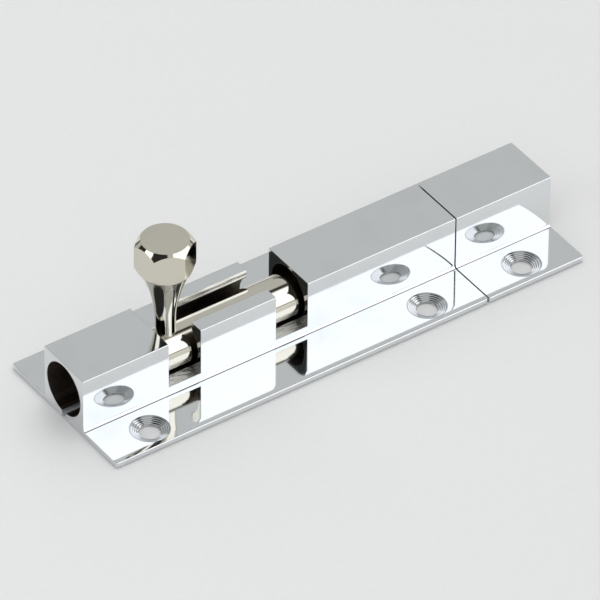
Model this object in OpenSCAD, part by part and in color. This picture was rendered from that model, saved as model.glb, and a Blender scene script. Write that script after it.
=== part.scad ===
// A surface slide bolt for furniture: a flanged channel housing with a round
// rod, a matching keeper, and a hexagonal knob that locks in cross notches.
// X runs along the bolt towards the keeper, Z points away from the mounting
// face, and the origin is the centre of the housing's four screw holes.

/* [Base plate] */
// Length of the housing along the bolt
housing_l = 75; // [72:1:110]
// Width of the base plate of housing and keeper
plate_w = 31; // [29:0.5:44]
// Thickness of the base plate
plate_t = 1; // [0.8:0.1:1.2]
// Radius of the plate's outer corners, seen from above
corner_r = 0.4; // [0.2:0.1:2]

/* [Channel] */
// Thickness of the side walls beside the bore
wall_t = 0.8; // [0.6:0.05:1.6]
// Thickness of the roof above the bore
roof_t = 0.5; // [0.4:0.05:1.5]
// Height of the bore's lowest line above the mounting face
floor_h = 1.3; // [1.2:0.05:2.4]
// Width of the open seam under the bore
seam_w = 1.2; // [0.6:0.1:2]
// Radius of the rounded long edges
edge_r = 0.15; // [0.1:0.05:0.4]
// Radius of the fillet between plate and channel
root_r = 0.7; // [0.2:0.1:1]

/* [Notches and slot] */
// From the tail end of the housing to the first notch
notch_inset = 17; // [14:0.5:20]
// Width of each cross notch
notch_w = 6.4; // [5:0.1:8]
// Distance between the two notches, which is the throw of the bolt
throw_l = 21.5; // [16:0.5:24]
// Height of the wall left standing above the plate in a notch
ledge_h = 1.4; // [0.8:0.1:2]
// Width of the slot in the roof between the notches
slot_w = 6; // [5:0.1:7.5]

/* [Keeper] */
// Length of the keeper along the bolt
keeper_l = 19.5; // [16:0.5:30]
// Gap between housing and keeper
keeper_gap = 0.25; // [0.1:0.05:3]

/* [Screw holes] */
// Diameter of the through holes
screw_d = 3.7; // [3:0.1:4.2]
// Diameter of the countersinks at the plate's face
sink_d = 6.8; // [5.8:0.1:7]
// Depth of the countersinks
sink_depth = 0.7; // [0.4:0.05:0.75]
// From the ends of the housing to the hole centres
hole_inset = 9.5; // [6:0.5:12]
// From the long edges of the plate to the hole centres
hole_edge = 4.3; // [3.8:0.1:5]

/* [Rod] */
// Diameter of the rod
rod_d = 7.8; // [7:0.1:9]
// Radial play between rod and bore
bore_play = 1; // [0.5:0.05:1.4]
// Gap between the bottom of the rod and the bore
rod_lift = 0.4; // [0.1:0.05:0.45]
// How far the drawn rod's front end lies inside the housing
front_inset = 2; // [0.5:0.5:6]
// From the tail end of the housing to the drawn rod's tail
tail_inset = 8; // [2:0.5:12]
// Size of the chamfer at both ends of the rod
rod_chamfer = 0.6; // [0.2:0.1:1.2]

/* [Knob] */
// Width of the hexagonal head across its flats
head_af = 9; // [8:0.1:9.4]
// Length of the head between its chamfers
head_l = 4.2; // [3:0.1:6]
// Diameter of the straight stem
stem_d = 3.5; // [2.5:0.1:4]
// Length of the straight stem above the rod
stem_l = 1.6; // [1:0.1:3]
// Length of the flare between stem and head
flare_l = 11.2; // [9:0.1:14]
// Largest diameter of the flare, where the head begins
flare_d = 8.6; // [7:0.1:8.8]
// Length of the inner chamfer on the head's corners
inner_chamfer_l = 1.1; // [0.6:0.1:2]
// Length of the outer chamfer on the head's corners
outer_chamfer_l = 1.2; // [0.6:0.1:2]
// Diameter of the head's end face
face_d = 8.2; // [6:0.1:9]
// Height of the dome on the end face
dome_h = 0.35; // [0.1:0.05:1]
// Turn of the hexagon about the knob's own axis, in degrees
head_turn = 35; // [0:1:60]
// Running gap between the knob's foot and the rod
foot_gap = 0.05; // [0.02:0.01:0.1]

/* [Hidden] */
$fn = 96;

// How far a cutting shape runs past the face that it cuts
cut = 1;
rod_r = rod_d / 2;
bore_r = rod_r + bore_play;
bore_z = floor_h + bore_r;
rod_z = floor_h + rod_lift + rod_r;
rod_l = housing_l - front_inset - tail_inset;
channel_w = 2 * (bore_r + wall_t);
channel_h = bore_z + bore_r + roof_t;
tail_x = -housing_l / 2;
front_x = housing_l / 2;
keeper_x = front_x + keeper_gap;
first_notch_x = tail_x + notch_inset;
knob_x = first_notch_x + notch_w / 2;
ledge_z = plate_t + ledge_h;
hole_y = plate_w / 2 - hole_edge;
hole_x = front_x - hole_inset;
head_corner_r = head_af / 2 / cos(30);
head_z = rod_r + stem_l + flare_l;
knob_h = head_z + inner_chamfer_l + head_l + outer_chamfer_l;

// A square corner with the round part taken out, which cuts a rounded edge
module edge_cutter(radius) {
    difference() {
        translate([-radius, -radius])
            square(radius + cut);
        translate([-radius, -radius])
            circle(radius);
    }
}

// One concave fillet in the corner to the right of a wall
module root_fillet(radius) {
    difference() {
        square(radius);
        translate([radius, radius])
            circle(radius);
    }
}

// The extruded section shared by housing and keeper, drawn in Y and Z
module section() {
    difference() {
        union() {
            translate([-plate_w / 2, 0])
                square([plate_w, plate_t]);
            translate([-channel_w / 2, 0])
                square([channel_w, channel_h]);
            for (side = [0, 1])
                mirror([side, 0])
                    translate([channel_w / 2, plate_t])
                        root_fillet(root_r);
        }
        translate([0, bore_z])
            circle(bore_r);
        translate([-seam_w / 2, -cut])
            square([seam_w, bore_z + cut]);
        for (side = [0, 1])
            mirror([side, 0]) {
                translate([channel_w / 2, channel_h])
                    edge_cutter(edge_r);
                translate([plate_w / 2, plate_t])
                    edge_cutter(edge_r);
            }
    }
}

// A length of the section with the plate's four corners rounded
module flanged_channel(start_x, length) {
    difference() {
        translate([start_x, 0, 0])
            rotate([90, 0, 90])
                linear_extrude(length)
                    section();
        translate([start_x + length / 2, 0, -cut])
            linear_extrude(plate_t + 2 * cut)
                for (end = [0, 1], side = [0, 1])
                    mirror([end, 0])
                        mirror([0, side])
                            translate([length / 2, plate_w / 2])
                                edge_cutter(corner_r);
    }
}

// A through hole with its countersink
module screw_hole(x, y) {
    translate([x, y, -cut])
        cylinder(h = plate_t + 2 * cut, d = screw_d);
    translate([x, y, plate_t - sink_depth])
        cylinder(h = sink_depth, d1 = screw_d, d2 = sink_d);
    translate([x, y, plate_t])
        cylinder(h = cut, d = sink_d);
}

// One notch across the channel, down to the ledge
module cross_notch(x) {
    translate([x, -channel_w / 2 - cut, ledge_z])
        cube([notch_w, channel_w + 2 * cut, channel_h]);
}

module housing() {
    color([0.86, 0.87, 0.88])
        difference() {
            flanged_channel(tail_x, housing_l);
            cross_notch(first_notch_x);
            cross_notch(first_notch_x + throw_l);
            translate([first_notch_x, -slot_w / 2, bore_z])
                cube([throw_l + notch_w, slot_w, channel_h]);
            for (x = [-hole_x, hole_x], y = [-hole_y, hole_y])
                screw_hole(x, y);
        }
}

module keeper() {
    color([0.84, 0.85, 0.86])
        difference() {
            flanged_channel(keeper_x, keeper_l);
            for (y = [-hole_y, hole_y])
                screw_hole(keeper_x + keeper_l / 2, y);
        }
}

module bolt_rod() {
    color([0.74, 0.72, 0.66])
        translate([tail_x + tail_inset, 0, rod_z])
            rotate([90, 0, 90])
                rotate_extrude()
                    polygon([
                        [0, 0],
                        [rod_r - rod_chamfer, 0],
                        [rod_r, rod_chamfer],
                        [rod_r, rod_l - rod_chamfer],
                        [rod_r - rod_chamfer, rod_l],
                        [0, rod_l]
                    ]);
}

// Half the section of the stem and its flare, which leaves the stem in an arc
module flare_section() {
    rise = (flare_d - stem_d) / 2;
    arc_r = (flare_l * flare_l + rise * rise) / (2 * rise);
    square([stem_d / 2, head_z]);
    difference() {
        translate([0, rod_r + stem_l])
            square([flare_d / 2, flare_l]);
        translate([stem_d / 2 + arc_r, rod_r + stem_l])
            circle(arc_r, $fn = 360);
    }
}

// The turned outline that the hexagon is cut from
module head_blank() {
    dome_r = (face_d * face_d / 4 + dome_h * dome_h) / (2 * dome_h);
    rotate_extrude()
        polygon([
            [0, 0],
            [flare_d / 2, 0],
            [head_corner_r, inner_chamfer_l],
            [head_corner_r, inner_chamfer_l + head_l],
            [face_d / 2, knob_h - head_z],
            [0, knob_h - head_z]
        ]);
    translate([0, 0, knob_h - head_z])
        intersection() {
            cylinder(h = dome_h, d = face_d);
            translate([0, 0, dome_h - dome_r])
                sphere(dome_r, $fn = 180);
        }
}

module knob() {
    color([0.76, 0.74, 0.68])
        translate([knob_x, 0, rod_z])
            difference() {
                union() {
                    rotate_extrude()
                        flare_section();
                    translate([0, 0, head_z])
                        intersection() {
                            head_blank();
                            rotate([0, 0, head_turn])
                                cylinder(h = knob_h, r = head_corner_r, $fn = 6);
                        }
                }
                rotate([0, 90, 0])
                    cylinder(h = rod_l, r = rod_r + foot_gap, center = true);
            }
}

housing();
keeper();
bolt_rod();
knob();
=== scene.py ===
"""Polished finishes, a studio and a camera for a furniture slide bolt.

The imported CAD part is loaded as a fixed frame. Lengths are in metres and
angles in degrees. X runs along the bolt towards the keeper and Z points up.
Azimuth 0 is the side that -Y faces, and 90 is the side that +X faces.
"""
import math

import bpy
from mathutils import Matrix, Vector

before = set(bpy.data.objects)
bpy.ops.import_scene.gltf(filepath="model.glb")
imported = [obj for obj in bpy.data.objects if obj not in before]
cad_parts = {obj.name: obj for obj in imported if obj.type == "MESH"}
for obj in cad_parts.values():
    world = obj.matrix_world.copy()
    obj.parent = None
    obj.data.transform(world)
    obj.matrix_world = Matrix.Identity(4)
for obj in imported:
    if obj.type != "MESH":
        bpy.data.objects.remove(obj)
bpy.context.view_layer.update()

# The camera, fitted to the straight edges of the photograph
CAMERA_AZIMUTH = -35.218
CAMERA_ELEVATION = 39.695
CAMERA_ROLL = 0.540
CAMERA_AIM = Vector((0.00850, -0.00192, 0.00500))
CAMERA_DISTANCE = 1.466
CAMERA_LENS = 528
CAMERA_SENSOR = 36
CAMERA_CLIP = (0.1, 50)

# Painted light: the floor is paler from FLOOR_NEAR to FLOOR_FAR away from the object
FLOOR_COLOUR = (0.71, 0.71, 0.71)
FLOOR_PAINTED_LIGHT_COLOUR = (0.95, 0.95, 0.95)
FLOOR_NEAR, FLOOR_FAR = 0.09, 0.35
FLOOR_ROUGHNESS = 0.6
FLOOR_GRAIN_SCALE, FLOOR_GRAIN = 900, (0.98, 1.02)
FLOOR_HALF = 6
FLOOR_DROP = 0.0001

# The room is pale, with a dark side on the left, a dark patch above that and a small one over the keeper
BACKGROUND_COLOUR = (0.70, 0.695, 0.69)
ROOM_TINT = (0.98, 1.0, 0.99)
# Sine of the elevation, and the level there
ROOM_STOPS = [(0.04, 0.05), (0.08, 0.58), (0.62, 0.61), (0.90, 0.62)]
DARK_COLOUR = (0.03, 0.03, 0.03)
# Azimuth, elevation, and the angles from there at which the dark ends and is full
DARK_ZONES = [(-86, 10, 66, 62), (-95, 54, 32, 28), (88, 63, 9, 2)]

# Lamps that show in reflections are tinted
WHITE = (1, 1, 1)
SOFTBOX_TINT = (1.0, 1.0, 1.06)
# Power that gives one square metre of lamp a radiance of 1
LAMP_POWER = 4
# Name, azimuth, elevation, distance, width, height, radiance, shows in reflections, lights the floor
LAMPS = [
    ("softbox_front", 46, 33, 1.0, 1.25, 1.12, 0.86, True, False),
    ("softbox_left", -104, 20, 1.0, 0.57, 0.74, 1.25, True, True),
    ("ceiling", 160, 66, 1.5, 2.20, 2.20, 0.88, False, True),
    ("fill_left", -45, 45, 1.5, 1.50, 1.50, 1.00, False, True),
]

# The platings
CHROME_COLOUR, CHROME_ROUGHNESS = (0.76, 0.78, 0.79), 0.06
NICKEL_COLOUR, NICKEL_ROUGHNESS = (0.70, 0.67, 0.58), 0.07
# Painted shade darkens the colour towards this
PAINTED_SHADE_COLOUR = (0, 0, 0)
EDGE_RADIUS = 0.0001
EDGE_SAMPLES = 6

# Features of the tool lines per metre, along X, Y and Z
ALONG_X = (90, 5000, 5000)
ROUND_X = (7000, 150, 150)
ROUND_Z = (150, 150, 7000)
GRAIN_HEIGHT = 0.0000004

# Smudges and wear: features per metre, and the noise levels from none to full
SMUDGE_SCALE, SMUDGE_RANGE = 140, (0.48, 0.78)
SMUDGE_LEVEL, SMUDGE_ROUGHNESS = 0.95, 0.03
WORN_SCALE, WORN_RANGE = 0.45, (0.60, 0.72)
WORN_ROUGHNESS = 0.02

# Unevenness that polishing leaves: features per metre, and their height
WAVE_SCALE, WAVE_HEIGHT = 110, 0.000012
RIPPLE_SCALE, RIPPLE_HEIGHT = 800, 0.000001

# The least part of a face's normal that points a way for the face to count as facing it
FACING, SQUARE_ON = 0.7, 0.98

# Polishing leaves the walls leaning in above this height, and the flanges falling at their rims
LEAN_START, LEAN_RADIUS = 0.002, 0.110
FALL_START, FALL_RADIUS = 0.0137, 0.024
WALL_Y = 0.0055

# The inside of the bore is painted dark as shade, with blotches. Its radius has a small margin
BORE_Z, BORE_RADIUS = 0.0062, 0.00495
BORE_SHADE_COLOUR, BORE_ROUGHNESS = (0.20, 0.165, 0.14), 0.38
BLOTCH_SCALE, BLOTCH_RANGE, BLOTCH_VALUES = 260, (0.3, 0.7), (0.6, 1.3)

# The ledges in the notches, as a cutter left them
LEDGE_HEIGHT, LEDGE_TOLERANCE = 0.0024, 0.0001
LEDGE_ROUGHNESS = 0.28
LEDGE_GRAIN, LEDGE_SCRATCHES = (900, 2500, 2500), 0.00022

# The sides of the slot, as a cutter left them
SLOT_Y = 0.0035
SLOT_ROUGHNESS = 0.05
SLOT_GRAIN, SLOT_STREAKS = (110, 1300, 1300), 0.00017

# Tool rings of the countersinks, and painted shade that darkens the rings and the rims
HOUSING_HOLE_X, KEEPER_HOLE_X = 0.028, 0.0475
SINK_Y = 0.0112
SINK_RADIUS = 0.0034
RING_PITCH, RING_HEIGHT = 0.00034, 0.000008
RING_WOBBLE_SCALE, RING_WOBBLE = 500, 1.5
RIM_WIDTH = 0.00016
RING_PAINTED_SHADE, RIM_PAINTED_SHADE = 0.40, 0.50

# Painted shade in the fillet between plate and channel, whose normals point this much out and up
ROOT_Y = 0.008
ROOT_OUT, ROOT_UP = 0.28, 0.86
ROOT_PAINTED_SHADE = 0.5


def rgba(colour, level=1):
    return (*[c * level for c in colour], 1)


def direction(azimuth, elevation):
    """Unit vector from the object towards a place in the room."""
    a, e = math.radians(azimuth), math.radians(elevation)
    return Vector((math.sin(a) * math.cos(e), -math.cos(a) * math.cos(e), math.sin(e)))


def place(obj, azimuth, elevation, distance, aim=Vector((0, 0, 0)), roll=0):
    """Puts an object round the aim with its local +Z pointing away from the aim."""
    back = direction(azimuth, elevation)
    level = direction(azimuth + 90, 0)
    side = Matrix.Rotation(math.radians(roll), 3, back) @ level
    axes = Matrix((side, back.cross(side), back)).transposed()
    obj.matrix_world = Matrix.Translation(aim + back * distance) @ axes.to_4x4()


def add(name, data):
    obj = bpy.data.objects.new(name, data)
    bpy.context.scene.collection.objects.link(obj)
    return obj


class Nodes:
    """A short way to write a node tree: each call makes one node and links its inputs."""

    def __init__(self, tree):
        self.tree = tree
        tree.nodes.clear()

    def __call__(self, kind, inputs=None, **settings):
        node = self.tree.nodes.new("ShaderNode" + kind)
        for key, value in settings.items():
            setattr(node, key, value)
        for key, value in (inputs or {}).items():
            if isinstance(value, bpy.types.NodeSocket):
                self.tree.links.new(value, node.inputs[key])
            else:
                node.inputs[key].default_value = value
        return node

    def spot(self):
        """X, Y and Z of the shaded point, in the object's own metres."""
        return self("SeparateXYZ", {0: self("TexCoord").outputs["Object"]}).outputs

    def facing(self):
        """X, Y and Z of the face's normal, in the object's own axes."""
        return self("SeparateXYZ", {0: self("TexCoord").outputs["Normal"]}).outputs

    def noise(self, scale, detail, stretch=(1, 1, 1)):
        """Noise in the object's own metres, with features about 1 / scale long."""
        spot = self("TexCoord").outputs["Object"]
        mapped = self("Mapping", {"Vector": spot, "Scale": [s * scale for s in stretch]})
        inputs = {"Vector": mapped.outputs[0], "Scale": 1, "Detail": detail}
        return self("TexNoise", inputs).outputs["Fac"]

    def remap(self, value, low, high, new_low, new_high, ease="LINEAR"):
        inputs = {"Value": value, "From Min": low, "From Max": high, "To Min": new_low, "To Max": new_high}
        return self("MapRange", inputs, interpolation_type=ease).outputs[0]

    def math(self, operation, *values):
        return self("Math", dict(enumerate(values)), operation=operation).outputs[0]

    def size(self, value):
        return self.math("ABSOLUTE", value)

    def above(self, value, limit):
        return self.math("GREATER_THAN", value, limit)

    def past(self, value, start, radius):
        """How far a value lies past the start, as a share of the radius, and at least 0."""
        return self.math("MAXIMUM", self.math("DIVIDE", self.math("SUBTRACT", value, start), radius), 0.0)

    def length(self, a, b):
        """Length of the flat vector from two of its parts."""
        return self.math("SQRT", self.math("ADD", self.math("MULTIPLY", a, a), self.math("MULTIPLY", b, b)))

    def blend(self, factor, a, b):
        inputs = {"Factor": factor, "A": a, "B": b}
        return self("Mix", inputs, data_type="RGBA").outputs["Result"]


def new_material(name):
    material = bpy.data.materials.new(name)
    material.use_nodes = True
    return material, Nodes(material.node_tree)


def tilted(n, normal):
    """The normal on faces that polishing has left slightly curved."""
    _, y, z = n.spot()
    _, face_y, face_z = n.facing()
    out = n.size(y)
    on_wall = n.math("MULTIPLY", n.above(n.size(face_y), FACING), n.above(out, WALL_Y))
    lean = n.math("MULTIPLY", n.past(z, LEAN_START, LEAN_RADIUS), on_wall)
    fall = n.math("MULTIPLY", n.past(out, FALL_START, FALL_RADIUS), n.above(face_z, FACING))
    fall = n.math("MULTIPLY", fall, n.math("SIGN", y))
    tilt = n("CombineXYZ", {"Y": fall, "Z": lean}).outputs[0]
    total = n("VectorMath", {0: normal, 1: tilt}, operation="ADD").outputs[0]
    return n("VectorMath", {0: total}, operation="NORMALIZE").outputs[0]


def ledge_face(n):
    """1 on the ledges that the cutter left in the notches, and 0 elsewhere."""
    at_height = n.math("COMPARE", n.spot()["Z"], LEDGE_HEIGHT, LEDGE_TOLERANCE)
    return n.math("MULTIPLY", at_height, n.above(n.facing()["Z"], FACING))


def root_line(n):
    """1 along the fillet between plate and channel, where shade is painted, and 0 elsewhere."""
    _, face_y, face_z = n.facing()
    leaning = n.math("MULTIPLY", n.above(n.size(face_y), ROOT_OUT), n.above(face_z, ROOT_UP))
    return n.math("MULTIPLY", leaning, n.math("LESS_THAN", n.size(n.spot()["Y"]), ROOT_Y))


def slot_side(n):
    """1 on the side faces of the slot in the roof, and 0 elsewhere."""
    inner = n.math("LESS_THAN", n.size(n.spot()["Y"]), SLOT_Y)
    return n.math("MULTIPLY", inner, n.above(n.size(n.facing()["Y"]), SQUARE_ON))


def screw_seat(n, hole_x):
    """The tool rings in each countersink, from 0 to 1, and the painted shade that darkens them and the rim.
    """
    x, y, _ = n.spot()
    dx = n.math("SUBTRACT", n.size(x), hole_x)
    dy = n.math("SUBTRACT", n.size(y), SINK_Y)
    radius = n.length(dx, dy)
    turns = n.math("DIVIDE", radius, RING_PITCH)
    turns = n.math("MULTIPLY_ADD", n.noise(RING_WOBBLE_SCALE, detail=2), RING_WOBBLE, turns)
    wave = n.remap(n.math("SINE", n.math("MULTIPLY", turns, math.tau)), -1, 1, 0, 1)
    rings = n.math("MULTIPLY", wave, n.math("LESS_THAN", radius, SINK_RADIUS))
    rim = n.math("COMPARE", radius, SINK_RADIUS, RIM_WIDTH / 2)
    # Painted shade: the rings and the rim are darkened towards black
    painted_shade = n.math("MAXIMUM", n.math("MULTIPLY", rings, RING_PAINTED_SHADE), n.math("MULTIPLY", rim, RIM_PAINTED_SHADE))
    return rings, painted_shade


def channel_marks(n, hole_x, tint, rough, height):
    """Adds the bore painted dark as shade, the cutter's faces, the screw seats and the root line, the last
    two with painted shade.
    """
    _, y, z = n.spot()
    inside = n.math("LESS_THAN", n.length(y, n.math("SUBTRACT", z, BORE_Z)), BORE_RADIUS)
    # Painted shade: inside the bore the colour is dark brown with blotches
    blotches = n.remap(n.noise(BLOTCH_SCALE, detail=3), *BLOTCH_RANGE, *BLOTCH_VALUES)
    bore_shade = n("HueSaturation", {"Value": blotches, "Color": rgba(BORE_SHADE_COLOUR)}).outputs[0]
    tint = n.blend(inside, tint, bore_shade)
    rings, painted_shade = screw_seat(n, hole_x)
    # Painted shade along the root fillet joins that of the countersinks
    painted_shade = n.math("MAXIMUM", painted_shade, n.math("MULTIPLY", root_line(n), ROOT_PAINTED_SHADE))
    # Painted shade: the countersinks and the root fillet are darkened towards black
    tint = n.blend(painted_shade, tint, rgba(PAINTED_SHADE_COLOUR))

    ledge, side = ledge_face(n), slot_side(n)
    rough = n.math("MULTIPLY_ADD", inside, BORE_ROUGHNESS, rough)
    rough = n.math("MULTIPLY_ADD", ledge, LEDGE_ROUGHNESS, rough)
    rough = n.math("MULTIPLY_ADD", side, SLOT_ROUGHNESS, rough)

    streaks = n.math("MULTIPLY", n.noise(1, 1, SLOT_GRAIN), side)
    scratches = n.math("MULTIPLY", n.noise(1, 2, LEDGE_GRAIN), ledge)
    height = n.math("MULTIPLY_ADD", streaks, SLOT_STREAKS, height)
    height = n.math("MULTIPLY_ADD", scratches, LEDGE_SCRATCHES, height)
    height = n.math("MULTIPLY_ADD", rings, RING_HEIGHT, height)
    return tint, rough, height


def polished(name, colour, grain, roughness, hole_x=None):
    """Plated metal with smudges, fine tool lines along the grain and soft edges.

    A piece of the channel is marked by how far along X its screw holes lie.
    """
    material, n = new_material(name)
    smudges = n.remap(n.noise(SMUDGE_SCALE, detail=4), *SMUDGE_RANGE, 0, 1)
    worn = n.remap(n.noise(WORN_SCALE, 3, grain), *WORN_RANGE, 0, 1)
    tint = n.blend(smudges, rgba(colour), rgba(colour, SMUDGE_LEVEL))
    rough = n.math("MULTIPLY_ADD", smudges, SMUDGE_ROUGHNESS, roughness)
    rough = n.math("MULTIPLY_ADD", worn, WORN_ROUGHNESS, rough)
    height = n.math("MULTIPLY", n.noise(WAVE_SCALE, detail=1), WAVE_HEIGHT)
    height = n.math("MULTIPLY_ADD", n.noise(RIPPLE_SCALE, detail=1), RIPPLE_HEIGHT, height)
    height = n.math("MULTIPLY_ADD", n.noise(1, 2, grain), GRAIN_HEIGHT, height)
    normal = n("Bevel", {"Radius": EDGE_RADIUS}, samples=EDGE_SAMPLES).outputs[0]
    if hole_x is not None:
        tint, rough, height = channel_marks(n, hole_x, tint, rough, height)
        normal = tilted(n, normal)
    bump = n("Bump", {"Height": height, "Distance": 1, "Strength": 1, "Normal": normal})
    shader = n("BsdfPrincipled", {
        "Base Color": tint,
        "Metallic": 1,
        "Roughness": rough,
        "Normal": bump.outputs[0],
    })
    n("OutputMaterial", {"Surface": shader.outputs[0]})
    return material


def finish(node, material):
    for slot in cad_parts[node].material_slots:
        slot.material = material


def add_floor():
    material, n = new_material("floor_paper_and_painted_light")
    grain = n.remap(n.noise(FLOOR_GRAIN_SCALE, detail=2), 0, 1, *FLOOR_GRAIN)
    away = n("VectorMath", {0: n("TexCoord").outputs["Object"]}, operation="LENGTH").outputs["Value"]
    # Painted light: the paper grows paler away from the object, as if lamps lit it more there
    painted_light = n.remap(away, FLOOR_NEAR, FLOOR_FAR, 0, 1, "SMOOTHSTEP")
    paper_and_painted_light = n.blend(painted_light, rgba(FLOOR_COLOUR), rgba(FLOOR_PAINTED_LIGHT_COLOUR))
    tint = n("HueSaturation", {"Value": grain, "Color": paper_and_painted_light}).outputs[0]
    shader = n("BsdfPrincipled", {"Base Color": tint, "Roughness": FLOOR_ROUGHNESS})
    n("OutputMaterial", {"Surface": shader.outputs[0]})
    h = FLOOR_HALF
    mesh = bpy.data.meshes.new("floor")
    mesh.from_pydata([(-h, -h, 0), (h, -h, 0), (h, h, 0), (-h, h, 0)], [], [(0, 1, 2, 3)])
    mesh.materials.append(material)
    floor = add("floor", mesh)
    floor.location.z = -FLOOR_DROP


def add_world():
    world = bpy.data.worlds.new("room")
    world.use_nodes = True
    n = Nodes(world.node_tree)
    look = n("TexCoord").outputs["Generated"]
    height = n("SeparateXYZ", {0: look}).outputs["Z"]
    ramp = n("ValToRGB", {"Fac": height})
    stops = ramp.color_ramp.elements
    while len(stops) < len(ROOM_STOPS):
        stops.new(1)
    for stop, (position, level) in zip(stops, ROOM_STOPS):
        stop.position = position
        stop.color = rgba(ROOM_TINT, level)
    room = ramp.outputs[0]
    for azimuth, elevation, end, full in DARK_ZONES:
        inputs = {0: look, 1: direction(azimuth, elevation)}
        near = n("VectorMath", inputs, operation="DOT_PRODUCT").outputs["Value"]
        end, full = math.cos(math.radians(end)), math.cos(math.radians(full))
        dark = n.remap(near, end, full, 0, 1, "SMOOTHSTEP")
        room = n.blend(dark, room, rgba(DARK_COLOUR))
    seen = n("LightPath").outputs["Is Camera Ray"]
    colour = n.blend(seen, room, rgba(BACKGROUND_COLOUR))
    shader = n("Background", {"Color": colour, "Strength": 1})
    n("OutputWorld", {"Surface": shader.outputs[0]})
    bpy.context.scene.world = world


def add_lamps():
    for name, azimuth, elevation, distance, width, height, radiance, glossy, diffuse in LAMPS:
        lamp = bpy.data.lights.new(name, "AREA")
        lamp.shape = "RECTANGLE"
        lamp.size, lamp.size_y = width, height
        lamp.energy = radiance * LAMP_POWER * width * height
        lamp.color = SOFTBOX_TINT if glossy else WHITE
        obj = add(name, lamp)
        obj.visible_camera = False
        obj.visible_glossy = glossy
        obj.visible_diffuse = diffuse
        place(obj, azimuth, elevation, distance)


def add_camera():
    data = bpy.data.cameras.new("camera")
    data.sensor_width = CAMERA_SENSOR
    data.lens = CAMERA_LENS
    data.clip_start, data.clip_end = CAMERA_CLIP
    camera = add("camera", data)
    place(camera, CAMERA_AZIMUTH, CAMERA_ELEVATION, CAMERA_DISTANCE, CAMERA_AIM, CAMERA_ROLL)
    bpy.context.scene.camera = camera


finish("housing", polished("housing_chrome", CHROME_COLOUR, ALONG_X, CHROME_ROUGHNESS, HOUSING_HOLE_X))
finish("keeper", polished("keeper_chrome", CHROME_COLOUR, ALONG_X, CHROME_ROUGHNESS, KEEPER_HOLE_X))
finish("bolt_rod", polished("rod_nickel", NICKEL_COLOUR, ROUND_X, NICKEL_ROUGHNESS))
finish("knob", polished("knob_nickel", NICKEL_COLOUR, ROUND_Z, NICKEL_ROUGHNESS))
add_floor()
add_world()
add_lamps()
add_camera()
bpy.context.scene.view_settings.view_transform = "Standard"
